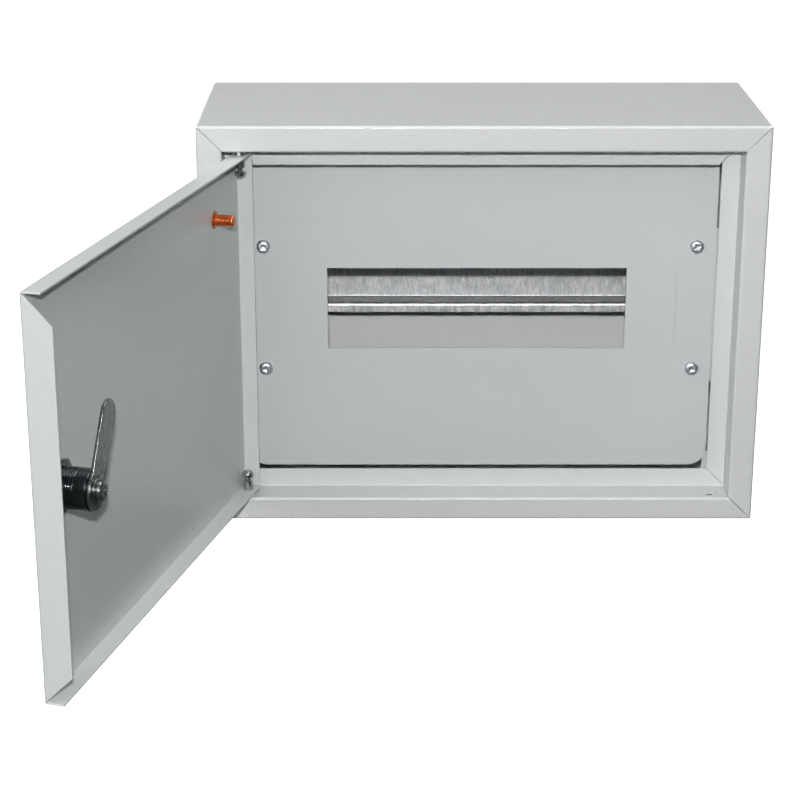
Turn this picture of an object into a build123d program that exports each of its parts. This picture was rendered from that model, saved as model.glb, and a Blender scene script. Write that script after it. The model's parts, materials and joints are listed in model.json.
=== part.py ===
from build123d import *
import os
from math import cos, radians, sin

os.makedirs("parts", exist_ok=True)

# Frame: origin in the centre of the wall face, -Y towards the user, +Z up, millimetres.

# ---------------------------------------------------------------- driving dimensions
body_w = 300.0
body_h = 220.0
body_d = 120.0
sheet = 1.0
bend_mid = 1.0
bend_out = bend_mid + sheet / 2
rim_top = 14.0
rim_low = 12.8
rim_side = 13.4
recess = 18.4
opening_top = 85.4
opening_low = -87.2
opening_side = 127.0
mitre_gap = 0.3

hinge_x = -127.5
hinge_y = -114.5
hinge_shaft_r = 2.0
hinge_hole_r = 2.06

door_w = 269.0
door_h = 189.0
door_drop = 0.7
door_edge = 7.0
door_face = 5.0
door_angle = 105.0
free_flange = 14.3
long_flange = 9.8
hinge_flange = 9.5

lock_u = 239.5
barrel_r = 9.5
barrel_end = -14.1
cam_t = 1.6
cam_reach = 40.5
cam_w = 15.0
cam_base_r = 9.0
cam_rest = 30.0

plate_w = 257.0
plate_h = 183.0
plate_y = -84.0
window_w = 164.0
window_h = 46.0
window_x = -1.6
window_z = 0.65
knockout_w = 27.5
screw_pitch_x = 236.5
screw_pitch_z = 70.0
screw_z = 1.0

rail_l = 236.0
rail_w = 35.0
rail_d = 15.0
rail_t = 1.2
rail_y = -33.0
rail_z = 0.5

bar_l = 126.0
bar_h = 9.0
bar_d = 7.0
bar_y = -40.0
neutral_z = 76.0
earth_z = -76.0
bar_ways = 12
bar_pitch = 9.5

wall_fix_x = 260.0
wall_fix_z = 180.0
wall_fix_r = 3.25

# ---------------------------------------------------------------- shared planes
front = Plane.XZ
top_left = (-body_w / 2, body_h / 2)
top_right = (body_w / 2, body_h / 2)
low_left = (-body_w / 2, -body_h / 2)
low_right = (body_w / 2, -body_h / 2)
wedge = 70.0

out_dir = Vector(-sin(radians(door_angle)), -cos(radians(door_angle)), 0)
run_dir = Vector(cos(radians(door_angle)), -sin(radians(door_angle)), 0)
door_z = -door_drop
hinge_point = Vector(hinge_x, hinge_y, door_z)
door_plane = Plane(origin=hinge_point, x_dir=run_dir, z_dir=out_dir)
lock_plane = Plane(origin=hinge_point + run_dir * lock_u, x_dir=run_dir, z_dir=out_dir)
end_plane = Plane(origin=hinge_point, x_dir=out_dir, z_dir=run_dir)


# ---------------------------------------------------------------- enclosure walls
# the seam runs from the outer corner to the longest ledge's corner
seam_end = body_h / 2 - opening_top


def folded_wall(plane, length, corners, rim, reach):
    """One side of the box: outer wall, front rim, recess return and ledge."""
    y_rear = body_d - sheet
    path = [
        (sheet / 2, y_rear),
        (sheet / 2, sheet / 2),
        (rim - sheet / 2, sheet / 2),
        (rim - sheet / 2, recess + sheet / 2),
        (reach, recess + sheet / 2),
    ]
    with BuildPart() as wall:
        with BuildSketch(plane.offset(-length / 2)):
            with BuildLine():
                FilletPolyline(*path, radius=bend_mid)
            trace(line_width=sheet)
        extrude(amount=length)
        # the four walls meet on 45 degree mitres
        with BuildSketch(front):
            Polygon(*corners, align=None)
        extrude(amount=body_d, mode=Mode.INTERSECT)
        with BuildSketch(front):
            RectangleRounded(body_w, body_h, bend_out)
        extrude(amount=body_d, mode=Mode.INTERSECT)
        # the folds at the front stop short of the mitre, which leaves a fine open seam
        mid = (seam_end + sheet + 0.2) / 2
        run = (seam_end - sheet - 0.2) * 2 ** 0.5
        with BuildSketch(front.offset(body_d - recess - sheet - 0.5)):
            with Locations((body_w / 2 - mid, body_h / 2 - mid), (mid - body_w / 2, mid - body_h / 2)):
                Rectangle(run, mitre_gap, rotation=45)
            with Locations((mid - body_w / 2, body_h / 2 - mid), (body_w / 2 - mid, mid - body_h / 2)):
                Rectangle(run, mitre_gap, rotation=-45)
        extrude(amount=recess + sheet + 0.5, mode=Mode.SUBTRACT)
    return wall


top_corners = [
    top_left,
    top_right,
    (top_right[0] - wedge, top_right[1] - wedge),
    (top_left[0] + wedge, top_left[1] - wedge),
]
low_corners = [
    low_right,
    low_left,
    (low_left[0] + wedge, low_left[1] + wedge),
    (low_right[0] - wedge, low_right[1] + wedge),
]
left_corners = [
    low_left,
    top_left,
    (top_left[0] + wedge, top_left[1] - wedge),
    (low_left[0] + wedge, low_left[1] + wedge),
]
right_corners = [
    top_right,
    low_right,
    (low_right[0] - wedge, low_right[1] + wedge),
    (top_right[0] - wedge, top_right[1] - wedge),
]

top_plane = Plane(origin=(0, -body_d, body_h / 2), x_dir=(0, 0, -1), z_dir=(1, 0, 0))
low_plane = Plane(origin=(0, -body_d, -body_h / 2), x_dir=(0, 0, 1), z_dir=(-1, 0, 0))
left_plane = Plane(origin=(-body_w / 2, -body_d, 0), x_dir=(1, 0, 0), z_dir=(0, 0, 1))
right_plane = Plane(origin=(body_w / 2, -body_d, 0), x_dir=(-1, 0, 0), z_dir=(0, 0, -1))

with BuildPart() as top_wall:
    add(folded_wall(top_plane, body_w, top_corners, rim_top, body_h / 2 - opening_top).part)
    with BuildSketch(Plane.XY.offset(body_h / 2 - rim_top - 1)):
        with Locations((hinge_x, hinge_y), (-hinge_x, hinge_y)):
            Circle(hinge_hole_r)
    extrude(amount=sheet + 2, mode=Mode.SUBTRACT)
top_wall.part.label = "top_wall"
export_step(top_wall.part, "parts/top_wall.step")

# cable entries: discs held in the sheet by two tabs each
entry_r = 11.25
entry_slot = 0.5
entry_tab = 3.0
with BuildPart() as bottom_wall:
    add(folded_wall(low_plane, body_w, low_corners, rim_low, body_h / 2 + opening_low).part)
    with BuildSketch(Plane.XY.offset(-body_h / 2 + rim_low - 2)):
        with Locations((hinge_x, hinge_y), (-hinge_x, hinge_y)):
            Circle(hinge_hole_r)
    extrude(amount=sheet + 2, mode=Mode.SUBTRACT)
    with BuildSketch(Plane.XY.offset(-body_h / 2 - 1)):
        with GridLocations(48.0, 1.0, 5, 1):
            with Locations((0, -50.0)):
                Circle(entry_r + entry_slot)
        with GridLocations(48.0, 1.0, 5, 1):
            with Locations((0, -50.0)):
                Circle(entry_r, mode=Mode.SUBTRACT)
                Rectangle(3 * entry_r, entry_tab, mode=Mode.SUBTRACT)
    extrude(amount=sheet + 2, mode=Mode.SUBTRACT)
bottom_wall.part.label = "bottom_wall"
export_step(bottom_wall.part, "parts/bottom_wall.step")

side_reach = body_w / 2 - opening_side
left_wall = folded_wall(left_plane, body_h, left_corners, rim_side, side_reach)
left_wall.part.label = "left_wall"
export_step(left_wall.part, "parts/left_wall.step")
right_wall = folded_wall(right_plane, body_h, right_corners, rim_side, side_reach)
right_wall.part.label = "right_wall"
export_step(right_wall.part, "parts/right_wall.step")

# back panel, welded to the rear edges of the walls, with four wall fixing holes
with BuildPart() as back_panel:
    with BuildSketch(front):
        RectangleRounded(body_w, body_h, bend_out)
        with GridLocations(wall_fix_x, wall_fix_z, 2, 2):
            Circle(wall_fix_r, mode=Mode.SUBTRACT)
    extrude(amount=sheet)
back_panel.part.label = "back_panel"
export_step(back_panel.part, "parts/back_panel.step")

# ---------------------------------------------------------------- cover brackets and cover
bracket_t = 1.2
bracket_h = 88.0
bracket_reach = 37.0
bracket_leg = 24.0
shank_r = 1.95


def cover_bracket(side):
    """Angle welded to a side wall: a front flange for the cover screws and a leg."""
    wall_x = side * (body_w / 2 - sheet)
    y_front = plate_y + sheet
    path = [
        (wall_x - side * bracket_reach, y_front + bracket_t / 2),
        (wall_x - side * bracket_t / 2, y_front + bracket_t / 2),
        (wall_x - side * bracket_t / 2, y_front + bracket_leg),
    ]
    with BuildPart() as bracket:
        with BuildSketch(Plane.XY.offset(screw_z + 1 - bracket_h / 2)):
            with BuildLine():
                FilletPolyline(*path, radius=bend_mid)
            trace(line_width=bracket_t)
        extrude(amount=bracket_h)
        # drawn collars give the thread its length
        with BuildSketch(front.offset(-y_front - bracket_t)):
            with Locations((side * screw_pitch_x / 2, screw_z)):
                with GridLocations(1.0, screw_pitch_z, 1, 2):
                    Circle(shank_r + 1.4)
        extrude(amount=-2.2)
        with BuildSketch(front.offset(-y_front + 1)):
            with Locations((side * screw_pitch_x / 2, screw_z)):
                with GridLocations(1.0, screw_pitch_z, 1, 2):
                    Circle(shank_r + 0.03)
        extrude(amount=-6.0, mode=Mode.SUBTRACT)
    return bracket


cover_bracket_left = cover_bracket(-1)
cover_bracket_left.part.label = "cover_bracket_left"
export_step(cover_bracket_left.part, "parts/cover_bracket_left.step")
cover_bracket_right = cover_bracket(1)
cover_bracket_right.part.label = "cover_bracket_right"
export_step(cover_bracket_right.part, "parts/cover_bracket_right.step")

# four small angles in the corners keep the cover from being pushed in
stop_y = plate_y + 4.0
stop_w = 22.0
stop_h = 24.0
with BuildPart() as corner_stops:
    with BuildSketch(front.offset(-stop_y)):
        with GridLocations(body_w - 2 * sheet - stop_w, body_h - 2 * sheet - stop_h, 2, 2):
            Rectangle(stop_w, stop_h)
    extrude(amount=-bracket_t)
    with BuildSketch(front.offset(-stop_y - bracket_t)):
        with GridLocations(body_w - 2 * sheet - bracket_t, body_h - 2 * sheet - stop_h, 2, 2):
            Rectangle(bracket_t, stop_h)
    extrude(amount=-14.0)
corner_stops.part.label = "corner_stops"
export_step(corner_stops.part, "parts/corner_stops.step")

# cover plate: breaker window with a perforated blank at each end
slot_w = 0.25
tab_w = 2.5
with BuildPart() as cover_plate:
    with BuildSketch(front.offset(-plate_y - sheet)):
        RectangleRounded(plate_w, plate_h, 10.0)
        with Locations((window_x, window_z)):
            Rectangle(window_w, window_h, mode=Mode.SUBTRACT)
        for side in (-1, 1):
            x_near = window_x + side * window_w / 2
            x_far = x_near + side * knockout_w
            run = (knockout_w - 2 * tab_w) / 2
            x_a = x_near + side * (tab_w + run / 2)
            x_b = x_a + side * (run + tab_w)
            z_edge = window_h / 2 - slot_w / 2
            with Locations((x_far, window_z)):
                Rectangle(slot_w, window_h, mode=Mode.SUBTRACT)
            with Locations(
                (x_a, window_z + z_edge),
                (x_b, window_z + z_edge),
                (x_a, window_z - z_edge),
                (x_b, window_z - z_edge),
            ):
                Rectangle(run, slot_w, mode=Mode.SUBTRACT)
        with Locations((0, screw_z)):
            with GridLocations(screw_pitch_x, screw_pitch_z, 2, 2):
                Circle(shank_r + 0.25, mode=Mode.SUBTRACT)
    extrude(amount=sheet)
cover_plate.part.label = "cover_plate"
export_step(cover_plate.part, "parts/cover_plate.step")


def pan_screws(plane, spots, head_r, head_h, shank, length):
    """Pan head screws with a cross recess; the plane is the seat and faces out of the head."""
    with BuildPart() as screws:
        with BuildSketch(plane):
            with Locations(*spots):
                Circle(head_r)
        extrude(amount=head_h)
        crown = screws.edges().filter_by(GeomType.CIRCLE).group_by(Axis(plane.origin, plane.z_dir))[-1]
        fillet(crown, head_h * 0.55)
        with BuildSketch(plane.offset(head_h)):
            with Locations(*spots):
                Rectangle(head_r * 1.15, head_r * 0.26)
                Rectangle(head_r * 0.26, head_r * 1.15)
        extrude(amount=-head_h * 0.7, taper=12, mode=Mode.SUBTRACT)
        with BuildSketch(plane):
            with Locations(*spots):
                Circle(shank)
        extrude(amount=-length)
    return screws


cover_spots = [
    (-screw_pitch_x / 2, screw_z - screw_pitch_z / 2),
    (-screw_pitch_x / 2, screw_z + screw_pitch_z / 2),
    (screw_pitch_x / 2, screw_z - screw_pitch_z / 2),
    (screw_pitch_x / 2, screw_z + screw_pitch_z / 2),
]
cover_screws = pan_screws(front.offset(-plate_y), cover_spots, 3.75, 2.6, shank_r, 9.0)
cover_screws.part.label = "cover_screws"
export_step(cover_screws.part, "parts/cover_screws.step")

# ---------------------------------------------------------------- rail and its support
rail_path = [
    (rail_w / 2, rail_t / 2),
    (12.5, rail_t / 2),
    (12.5, rail_d - rail_t / 2),
    (-12.5, rail_d - rail_t / 2),
    (-12.5, rail_t / 2),
    (-rail_w / 2, rail_t / 2),
]
rail_plane = Plane(origin=(0, rail_y, rail_z), x_dir=(0, 0, -1), z_dir=(1, 0, 0))
with BuildPart() as din_rail:
    with BuildSketch(rail_plane.offset(-rail_l / 2)):
        with BuildLine():
            FilletPolyline(*rail_path, radius=bend_mid + 0.2)
        trace(line_width=rail_t)
    extrude(amount=rail_l)
    # shallow spot weld marks
    with BuildSketch(front.offset(-rail_y - rail_d + rail_t)):
        with Locations((-6.6, rail_z - 0.5), (8.5, rail_z - 0.5)):
            Circle(2.0)
    extrude(amount=-0.3, taper=30, mode=Mode.SUBTRACT)
din_rail.part.label = "din_rail"
export_step(din_rail.part, "parts/din_rail.step")

support_y = rail_y + rail_d
support_path = [
    (-34.0, -sheet - 0.75),
    (-17.0, -sheet - 0.75),
    (-17.0, support_y + 0.75),
    (17.0, support_y + 0.75),
    (17.0, -sheet - 0.75),
    (34.0, -sheet - 0.75),
]
with BuildPart() as rail_support:
    with BuildSketch(Plane.XY.offset(rail_z - 15.0)):
        with BuildLine():
            FilletPolyline(*support_path, radius=1.5)
        trace(line_width=1.5)
    extrude(amount=30.0)
rail_support.part.label = "rail_support"
export_step(rail_support.part, "parts/rail_support.step")

# ---------------------------------------------------------------- neutral and earth bars
post_y = bar_y + bar_d
bar_first = -(bar_ways - 1) * bar_pitch / 2
way_x = [bar_first + bar_pitch * i for i in range(bar_ways)]
clamp_r = 2.0


def terminal_bar(z):
    """Square brass bar with a row of wire ways, a clamping screw over each, and two fixings."""
    with BuildPart() as bar:
        with BuildSketch(front.offset(-bar_y - bar_d)):
            with Locations((0, z)):
                Rectangle(bar_l, bar_h)
        extrude(amount=bar_d)
        with BuildSketch(Plane.XY.offset(z - bar_h)):
            with Locations(*[(x, bar_y + 4.4) for x in way_x]):
                Circle(1.9)
        extrude(amount=2 * bar_h, mode=Mode.SUBTRACT)
        with BuildSketch(front.offset(-bar_y + 1)):
            with Locations(*[(x, z) for x in way_x]):
                Circle(clamp_r + 0.02)
        extrude(amount=-5.4, mode=Mode.SUBTRACT)
        with BuildSketch(front.offset(-bar_y + 1)):
            with Locations((-bar_l / 2 + 4.0, z), (bar_l / 2 - 4.0, z)):
                Circle(1.75)
        extrude(amount=-bar_d - 2, mode=Mode.SUBTRACT)
        chamfer(bar.edges().filter_by(Axis.X).group_by(Axis.Y)[0], 0.5)
    return bar


def clamp_screws(z):
    """Slotted cheese head screws, one over each wire way."""
    with BuildPart() as screws:
        with BuildSketch(front.offset(-bar_y + 1.2)):
            with Locations(*[(x, z) for x in way_x]):
                Circle(2.9)
        extrude(amount=2.0)
        with BuildSketch(front.offset(-bar_y + 3.2)):
            with Locations(*[(x, z) for x in way_x]):
                Rectangle(5.0, 0.8)
        extrude(amount=-1.0, mode=Mode.SUBTRACT)
        with BuildSketch(front.offset(-bar_y + 1.2)):
            with Locations(*[(x, z) for x in way_x]):
                Circle(clamp_r)
        extrude(amount=-3.6)
    return screws


def bar_holders(z):
    """Two moulded stands that carry a bar off the back panel."""
    with BuildPart() as stands:
        with BuildSketch(front.offset(sheet)):
            with Locations((-bar_l / 2 + 4.0, z), (bar_l / 2 - 4.0, z)):
                RectangleRounded(14.0, 26.0, 2.0)
        extrude(amount=5.0)
        with BuildSketch(front.offset(sheet + 5.0)):
            with Locations((-bar_l / 2 + 4.0, z), (bar_l / 2 - 4.0, z)):
                Rectangle(10.0, 12.0)
        extrude(amount=-post_y - sheet - 5.0)
        with BuildSketch(front.offset(-post_y)):
            with Locations((-bar_l / 2 + 4.0, z), (bar_l / 2 - 4.0, z)):
                Circle(1.6)
        extrude(amount=-10.0, mode=Mode.SUBTRACT)
        with BuildSketch(front.offset(sheet + 5.0)):
            with Locations((-bar_l / 2 + 4.0, z + 9.5), (bar_l / 2 - 4.0, z + 9.5)):
                Circle(1.6)
            with Locations((-bar_l / 2 + 4.0, z - 9.5), (bar_l / 2 - 4.0, z - 9.5)):
                Circle(1.6)
        extrude(amount=-5.0, mode=Mode.SUBTRACT)
    return stands


def bar_fixing_screws(z):
    """Screws that hold the bar on its stands."""
    seat = front.offset(-bar_y)
    spots = [(-bar_l / 2 + 4.0, z), (bar_l / 2 - 4.0, z)]
    return pan_screws(seat, spots, 2.7, 2.0, 1.55, 15.0)


def stand_screws(z):
    """Screws through the feet of the stands, with their tips flush with the foot's base."""
    seat = front.offset(sheet + 5.0)
    spots = []
    for x in (-bar_l / 2 + 4.0, bar_l / 2 - 4.0):
        spots.append((x, z - 9.5))
        spots.append((x, z + 9.5))
    return pan_screws(seat, spots, 2.7, 2.0, 1.55, 5.0)


neutral_bar = terminal_bar(neutral_z)
neutral_bar.part.label = "neutral_bar"
export_step(neutral_bar.part, "parts/neutral_bar.step")
neutral_clamp_screws = clamp_screws(neutral_z)
neutral_clamp_screws.part.label = "neutral_clamp_screws"
export_step(neutral_clamp_screws.part, "parts/neutral_clamp_screws.step")
neutral_holders = bar_holders(neutral_z)
neutral_holders.part.label = "neutral_holders"
export_step(neutral_holders.part, "parts/neutral_holders.step")
earth_bar = terminal_bar(earth_z)
earth_bar.part.label = "earth_bar"
export_step(earth_bar.part, "parts/earth_bar.step")
earth_clamp_screws = clamp_screws(earth_z)
earth_clamp_screws.part.label = "earth_clamp_screws"
export_step(earth_clamp_screws.part, "parts/earth_clamp_screws.step")
earth_holders = bar_holders(earth_z)
earth_holders.part.label = "earth_holders"
export_step(earth_holders.part, "parts/earth_holders.step")

with BuildPart() as bar_screws:
    add(bar_fixing_screws(neutral_z).part)
    add(bar_fixing_screws(earth_z).part)
bar_screws.part.label = "bar_screws"
export_step(bar_screws.part, "parts/bar_screws.step")
with BuildPart() as holder_screws:
    add(stand_screws(neutral_z).part)
    add(stand_screws(earth_z).part)
holder_screws.part.label = "holder_screws"
export_step(holder_screws.part, "parts/holder_screws.step")

# ---------------------------------------------------------------- body earth stud
stud_r = 3.0
stud_x = -112.0
stud_z = -62.0
with BuildPart() as body_earth_stud:
    with BuildSketch(front.offset(sheet)):
        with Locations((stud_x, stud_z)):
            Circle(4.2)
    extrude(amount=0.8)
    with BuildSketch(front.offset(sheet + 0.8)):
        with Locations((stud_x, stud_z)):
            Circle(stud_r)
    extrude(amount=18.0)
    tip = body_earth_stud.edges().filter_by(GeomType.CIRCLE).group_by(Axis.Y)[0]
    chamfer(tip, 0.6)
body_earth_stud.part.label = "body_earth_stud"
export_step(body_earth_stud.part, "parts/body_earth_stud.step")

with BuildPart() as body_earth_washer:
    with BuildSketch(front.offset(sheet + 0.8)):
        with Locations((stud_x, stud_z)):
            Circle(6.0)
            Circle(stud_r + 0.2, mode=Mode.SUBTRACT)
    extrude(amount=1.4)
body_earth_washer.part.label = "body_earth_washer"
export_step(body_earth_washer.part, "parts/body_earth_washer.step")

with BuildPart() as body_earth_nut:
    with BuildSketch(front.offset(sheet + 2.2)):
        with Locations((stud_x, stud_z)):
            RegularPolygon(5.0, 6, major_radius=False)
            Circle(stud_r + 0.02, mode=Mode.SUBTRACT)
    extrude(amount=5.0)
body_earth_nut.part.label = "body_earth_nut"
export_step(body_earth_nut.part, "parts/body_earth_nut.step")

# ---------------------------------------------------------------- door
door_mid = door_w / 2 - door_edge
door_axis = Axis(door_plane.origin, door_plane.z_dir)
inner_face = door_face - sheet
with BuildPart() as door_panel:
    with BuildSketch(door_plane.offset(door_face)):
        with Locations((door_mid, 0)):
            Rectangle(door_w, door_h)
    extrude(amount=-free_flange)
    fillet(door_panel.faces().sort_by(door_axis)[-1].edges(), bend_out)
    with BuildSketch(door_plane.offset(inner_face)):
        with Locations((door_mid, 0)):
            Rectangle(door_w - 2 * sheet, door_h - 2 * sheet)
    extrude(amount=-free_flange, mode=Mode.SUBTRACT)
    # the long flanges and the hinge side flange are lower than the one at the free edge
    with BuildSketch(door_plane.offset(door_face - long_flange)):
        with Locations((door_mid, door_h / 2), (door_mid, -door_h / 2)):
            Rectangle(door_w + 2, 2 * sheet)
    extrude(amount=-free_flange, mode=Mode.SUBTRACT)
    with BuildSketch(door_plane.offset(door_face - hinge_flange)):
        with Locations((-door_edge, 0)):
            Rectangle(2 * sheet, door_h + 2)
    extrude(amount=-free_flange, mode=Mode.SUBTRACT)
    # the free flange is mitred at both ends
    half = door_h / 2 - sheet
    deep = free_flange + 1.0
    with BuildSketch(end_plane.offset(door_w - door_edge - 1.5 * sheet)):
        for side in (-1, 1):
            Polygon(
                (inner_face - 0.5, side * half),
                (inner_face - 0.5, side * (half - 0.5)),
                (inner_face - 0.5 - deep, side * (half - 0.5 - deep)),
                (inner_face - 0.5 - deep, side * half),
                align=None,
            )
    extrude(amount=2 * sheet, mode=Mode.SUBTRACT)
    # fine reliefs between the hinge side flange and the long flanges
    with BuildSketch(door_plane.offset(inner_face - 0.5)):
        with Locations((-door_edge + sheet / 2, half - 0.15), (-door_edge + sheet / 2, 0.15 - half)):
            Rectangle(1.5 * sheet, 0.3)
    extrude(amount=-free_flange, mode=Mode.SUBTRACT)
    # hinge pin holes through the long flanges
    with BuildSketch(Plane.XY.offset(-body_h / 2)):
        with Locations((hinge_x, hinge_y)):
            Circle(hinge_shaft_r + 0.02)
    extrude(amount=body_h, mode=Mode.SUBTRACT)
    # lock hole
    with BuildSketch(lock_plane.offset(door_face + 1)):
        Circle(barrel_r + 0.1)
    extrude(amount=-4 * sheet, mode=Mode.SUBTRACT)
door_panel.part.label = "door_panel"
export_step(door_panel.part, "parts/door_panel.step")

with BuildPart() as door_earth_stud:
    with BuildSketch(door_plane.offset(inner_face)):
        with Locations((30.2, 66.0 + door_drop)):
            Circle(4.7)
    extrude(amount=-1.0)
    with BuildSketch(door_plane.offset(inner_face - 1.0)):
        with Locations((30.2, 66.0 + door_drop)):
            Circle(stud_r)
    extrude(amount=-9.7)
    tip = door_earth_stud.edges().filter_by(GeomType.CIRCLE).group_by(door_axis)[0]
    chamfer(tip, 0.6)
door_earth_stud.part.label = "door_earth_stud"
export_step(door_earth_stud.part, "parts/door_earth_stud.step")

# ---------------------------------------------------------------- hinge pins
pin_collar_r = 2.8
pin_neck_r = 1.9
pin_head_r = 3.1
pin_tip = 4.0


def hinge_pin(side, rim):
    """Turned pin: grooved mushroom head inside the door, shaft out through door and body."""
    z_seat = door_z + side * half
    z_tip = side * (body_h / 2 - rim + sheet + pin_tip)
    z_collar = z_seat - side * 5.2
    z_neck = z_collar - side * 2.4
    z_head = z_neck - side * 3.7
    outline = [
        (0, z_tip),
        (hinge_shaft_r - 0.6, z_tip),
        (hinge_shaft_r, z_tip - side * 0.8),
        (hinge_shaft_r, z_seat),
        (pin_collar_r, z_seat),
        (pin_collar_r, z_collar),
        (pin_neck_r, z_collar - side * 0.5),
        (pin_neck_r, z_neck),
        (pin_head_r, z_neck - side * 0.4),
        (pin_head_r, z_head + side * 1.4),
        (pin_head_r * 0.72, z_head + side * 0.35),
        (pin_head_r * 0.3, z_head),
        (0, z_head),
    ]
    with BuildPart() as pin:
        with BuildSketch(Plane(origin=(hinge_x, hinge_y, 0), x_dir=(1, 0, 0), z_dir=(0, -1, 0))):
            Polygon(*outline, align=None)
        revolve(axis=Axis((hinge_x, hinge_y, 0), (0, 0, 1)))
    return pin


upper_hinge_pin = hinge_pin(1, rim_top)
upper_hinge_pin.part.label = "upper_hinge_pin"
export_step(upper_hinge_pin.part, "parts/upper_hinge_pin.step")
lower_hinge_pin = hinge_pin(-1, rim_low)
lower_hinge_pin.part.label = "lower_hinge_pin"
export_step(lower_hinge_pin.part, "parts/lower_hinge_pin.step")

# the door rests on a thin washer round the lower pin
washer_low = -body_h / 2 + rim_low
washer_high = door_z - door_h / 2
with BuildPart() as hinge_washer:
    with BuildSketch(Plane.XY.offset(washer_low)):
        with Locations((hinge_x, hinge_y)):
            Circle(3.9)
            Circle(hinge_shaft_r + 0.06, mode=Mode.SUBTRACT)
    extrude(amount=washer_high - washer_low)
hinge_washer.part.label = "hinge_washer"
export_step(hinge_washer.part, "parts/hinge_washer.step")

# ---------------------------------------------------------------- cam lock
plug_r = 6.0
lock_face = door_face + 3.2
with BuildPart() as lock_housing:
    with BuildSketch(lock_plane.offset(door_face)):
        Circle(11.5)
    extrude(amount=lock_face - door_face)
    lock_axis = Axis(lock_plane.origin, lock_plane.z_dir)
    fillet(lock_housing.edges().filter_by(GeomType.CIRCLE).group_by(lock_axis)[-1], 1.6)
    with BuildSketch(lock_plane.offset(door_face)):
        Circle(barrel_r)
    extrude(amount=barrel_end - door_face)
    chamfer(lock_housing.edges().filter_by(GeomType.CIRCLE).group_by(lock_axis)[0], 0.7)
    with BuildSketch(lock_plane.offset(lock_face + 1)):
        Circle(plug_r + 0.05)
    extrude(amount=barrel_end - lock_face - 2, mode=Mode.SUBTRACT)
lock_housing.part.label = "lock_housing"
export_step(lock_housing.part, "parts/lock_housing.step")

with BuildPart() as lock_nut:
    with BuildSketch(lock_plane.offset(inner_face)):
        RegularPolygon(12.0, 6, major_radius=False)
        Circle(barrel_r + 0.03, mode=Mode.SUBTRACT)
    extrude(amount=-4.0)
lock_nut.part.label = "lock_nut"
export_step(lock_nut.part, "parts/lock_nut.step")

cam_front = barrel_end - 0.1
cam_back = cam_front - cam_t
with BuildPart() as lock_plug:
    with BuildSketch(lock_plane.offset(cam_front)):
        Circle(plug_r)
    extrude(amount=lock_face - cam_front - 0.2)
    # key slot
    with BuildSketch(lock_plane.offset(lock_face)):
        Rectangle(1.6, 7.6)
    extrude(amount=-6.0, mode=Mode.SUBTRACT)
    # square tail that drives the cam, tapped for its screw
    with BuildSketch(lock_plane.offset(cam_front)):
        Rectangle(7.0, 7.0, rotation=cam_rest)
    extrude(amount=-cam_t)
    with BuildSketch(lock_plane.offset(cam_back - 1)):
        Circle(2.0)
    extrude(amount=9.0, mode=Mode.SUBTRACT)
lock_plug.part.label = "lock_plug"
export_step(lock_plug.part, "parts/lock_plug.step")

# the cam points up and leans towards the hinge when the lock is open
tip_off = cam_reach - cam_w / 2
tip_u = -tip_off * sin(radians(cam_rest))
tip_v = tip_off * cos(radians(cam_rest))
with BuildPart() as lock_cam:
    with BuildSketch(lock_plane.offset(cam_back)):
        Circle(cam_base_r)
        with Locations((tip_u, tip_v)):
            Circle(cam_w / 2)
        with Locations((tip_u / 2, tip_v / 2)):
            Rectangle(cam_w, tip_off, rotation=cam_rest)
        Rectangle(7.1, 7.1, rotation=cam_rest, mode=Mode.SUBTRACT)
    extrude(amount=cam_t)
lock_cam.part.label = "lock_cam"
export_step(lock_cam.part, "parts/lock_cam.step")

cam_washer_t = 0.8
with BuildPart() as cam_washer:
    with BuildSketch(lock_plane.offset(cam_back)):
        Circle(6.4)
        Circle(2.1, mode=Mode.SUBTRACT)
    extrude(amount=-cam_washer_t)
cam_washer.part.label = "cam_washer"
export_step(cam_washer.part, "parts/cam_washer.step")

screw_seat = Plane(
    origin=lock_plane.origin + out_dir * (cam_back - cam_washer_t),
    x_dir=run_dir,
    z_dir=out_dir * -1,
)
cam_screw = pan_screws(screw_seat, [(0, 0)], 4.8, 2.3, 1.95, 7.2)
cam_screw.part.label = "cam_screw"
export_step(cam_screw.part, "parts/cam_screw.step")
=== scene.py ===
# %% [markdown]
# # A twelve-module distribution box
# The box is a welded sheet-steel enclosure: four folded walls, a slotted cover plate over a
# device rail, and a door on two pins with a cam lock. The mechanical model is already made,
# so this lesson only dresses it. Loading it gives one mesh per node, in metres, each at its
# true place, so nothing has to be fitted by eye.

# %% Load the frame
import json
import math

import bmesh
import bpy
from mathutils import Matrix, Vector


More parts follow.
